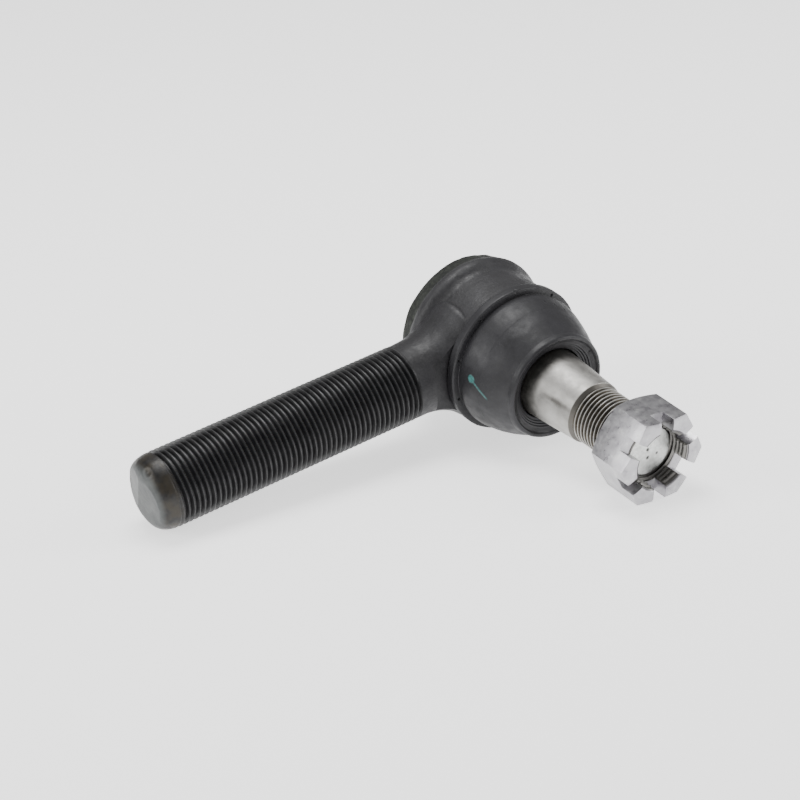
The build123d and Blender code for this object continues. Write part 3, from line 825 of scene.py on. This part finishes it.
for node, material in {
    "socket_housing": forged, "end_cover": cover_material(), "cover_seal_ring": seal_material(),
    "upper_bearing_seat": bearing, "pressure_seat": bearing, "preload_spring": spring,
    "grease_fitting_body": plated, "grease_fitting_ball": bearing, "grease_fitting_spring": spring,
    "boot": rubber, "boot_flange_insert": plated, "boot_mouth_ring": spring,
    "ball_stud": ground, "castle_nut": zinc,
}.items():
    paint(nodes[node], material)

# ------------------------------------------------------------------- pieces on their bodies; the boot's two pieces stay in place
for piece, body, slot, material in (
    (build_housing_forging(), "housing", "forging_black", forged),
    (build_shank_thread(), "housing", "forging_black", threaded),
    (build_stud_body(), "stud", "stud_steel", ground),
    (build_stud_thread(), "stud", "stud_steel", ground),
    (build_nut_body(), "nut", "nut_zinc", zinc),
    (build_nut_thread(), "nut", "nut_zinc", zinc),
    (build_fitting_coil(), "housing", "spring_steel", spring),
):
    paint(piece, material)
    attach(piece, body)
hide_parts("socket_housing")
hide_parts("socket_housing")
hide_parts("ball_stud")
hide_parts("ball_stud")
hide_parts("castle_nut")
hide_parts("castle_nut")
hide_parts("grease_fitting_spring")

for piece, bodies, low, high in (
    (build_boot_lower(), ("housing", "boot"), BOOT_FIXED, BOOT_SPLIT),
    (build_boot_upper(), ("boot", "boot_mouth"), BOOT_SPLIT, BOOT_CARRIED),
):
    paint(piece, rubber)
    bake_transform(piece)
    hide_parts("boot")


# ------------------------------------------------------------------- floor, light and camera
def rest_plane():
    """Plane that the part lies on: shank end, boot flange and nut, as (normal, lowest distance)."""
    flange_low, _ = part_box("boot")
    nut_low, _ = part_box("castle_nut")
    shank_foot = Vector((-144.6 * MM, 0, -SHANK_R * MM))
    flange_foot = Vector((0, -12 * MM, flange_low.z))
    nut_foot = Vector((0, nut_low.y * 0.9, nut_low.z))
    normal = (flange_foot - shank_foot).cross(nut_foot - shank_foot).normalized()
    if normal.z < 0:
        normal.negate()
    lowest = min(normal.dot(v.co) for node in nodes.values() for v in node.data.vertices)
    return normal, lowest


FLOOR_HALF = 6.0              # metres
FLOOR_GAP = 0.0002            # metres between the floor and the lowest point at rest


def build_floor():
    normal, lowest = rest_plane()
    bm = bmesh.new()
    bmesh.ops.create_grid(bm, x_segments=1, y_segments=1, size=FLOOR_HALF)
    floor = new_object("floor", bm)
    turn = normal.to_track_quat("Z", "Y").to_matrix().to_4x4()
    floor.matrix_world = Matrix.Translation(normal * (lowest - FLOOR_GAP)) @ turn
    n = Nodes("floor_white", roughness=0.9, specular=0.1)
    n.colour(n.ramp(n.noise(300.0, detail=2), (0.0, (0.80, 0.80, 0.80)), (1.0, (0.82, 0.82, 0.82))))
    n.shader.inputs["Emission Color"].default_value = (1, 1, 1, 1)
    n.shader.inputs["Emission Strength"].default_value = 1.3
    paint(floor, n.material)


def area_light(name, place, target, size, power):
    light = bpy.data.lights.new(name, "AREA")
    light.shape = "RECTANGLE"
    light.size, light.size_y = size
    light.energy = power
    obj = bpy.data.objects.new(name, light)
    bpy.context.scene.collection.objects.link(obj)
    obj.location = place
    obj.rotation_euler = (Vector(target) - Vector(place)).to_track_quat("-Z", "Y").to_euler()


LIGHTS = (      # name, place, target, size and power
    ("top", (0.1, 0.3, 0.9), (-0.05, -0.02, 0), (0.6, 0.5), 8),
    ("side", (-0.9, 0.3, 0.5), (-0.05, 0, 0), (0.5, 0.6), 5),
    ("fill", (0.9, -0.5, 0.45), (0, -0.05, 0), (0.5, 0.6), 5),
)


def build_lights():
    world = bpy.data.worlds.new("studio")
    world.use_nodes = True
    background = world.node_tree.nodes["Background"]
    background.inputs["Color"].default_value = (1, 1, 1, 1)
    background.inputs["Strength"].default_value = 0.45
    bpy.context.scene.world = world
    for light in LIGHTS:
        area_light(*light)


CAMERA_RIGHT = (0.81912138, -0.56933396, -0.06999293)
CAMERA_UP = (0.36865935, 0.42902391, 0.82463857)
CAMERA_PLACE = (-0.434855, -0.625367, 0.493482)
SENSOR_WIDTH = 36             # millimetres, like the lens
LENS = 108.3


def build_camera():
    """A long lens looks down on the part from the stud's left, rolled a few degrees."""
    right, up = Vector(CAMERA_RIGHT), Vector(CAMERA_UP)
    camera = bpy.data.cameras.new("camera")
    camera.sensor_width = SENSOR_WIDTH
    camera.lens = LENS
    camera.clip_start = 0.01
    obj = bpy.data.objects.new("camera", camera)
    bpy.context.scene.collection.objects.link(obj)
    turn = Matrix((right, up, right.cross(up))).transposed().to_4x4()
    obj.matrix_world = Matrix.Translation(CAMERA_PLACE) @ turn
    bpy.context.scene.camera = obj


build_floor()
build_lights()
build_camera()
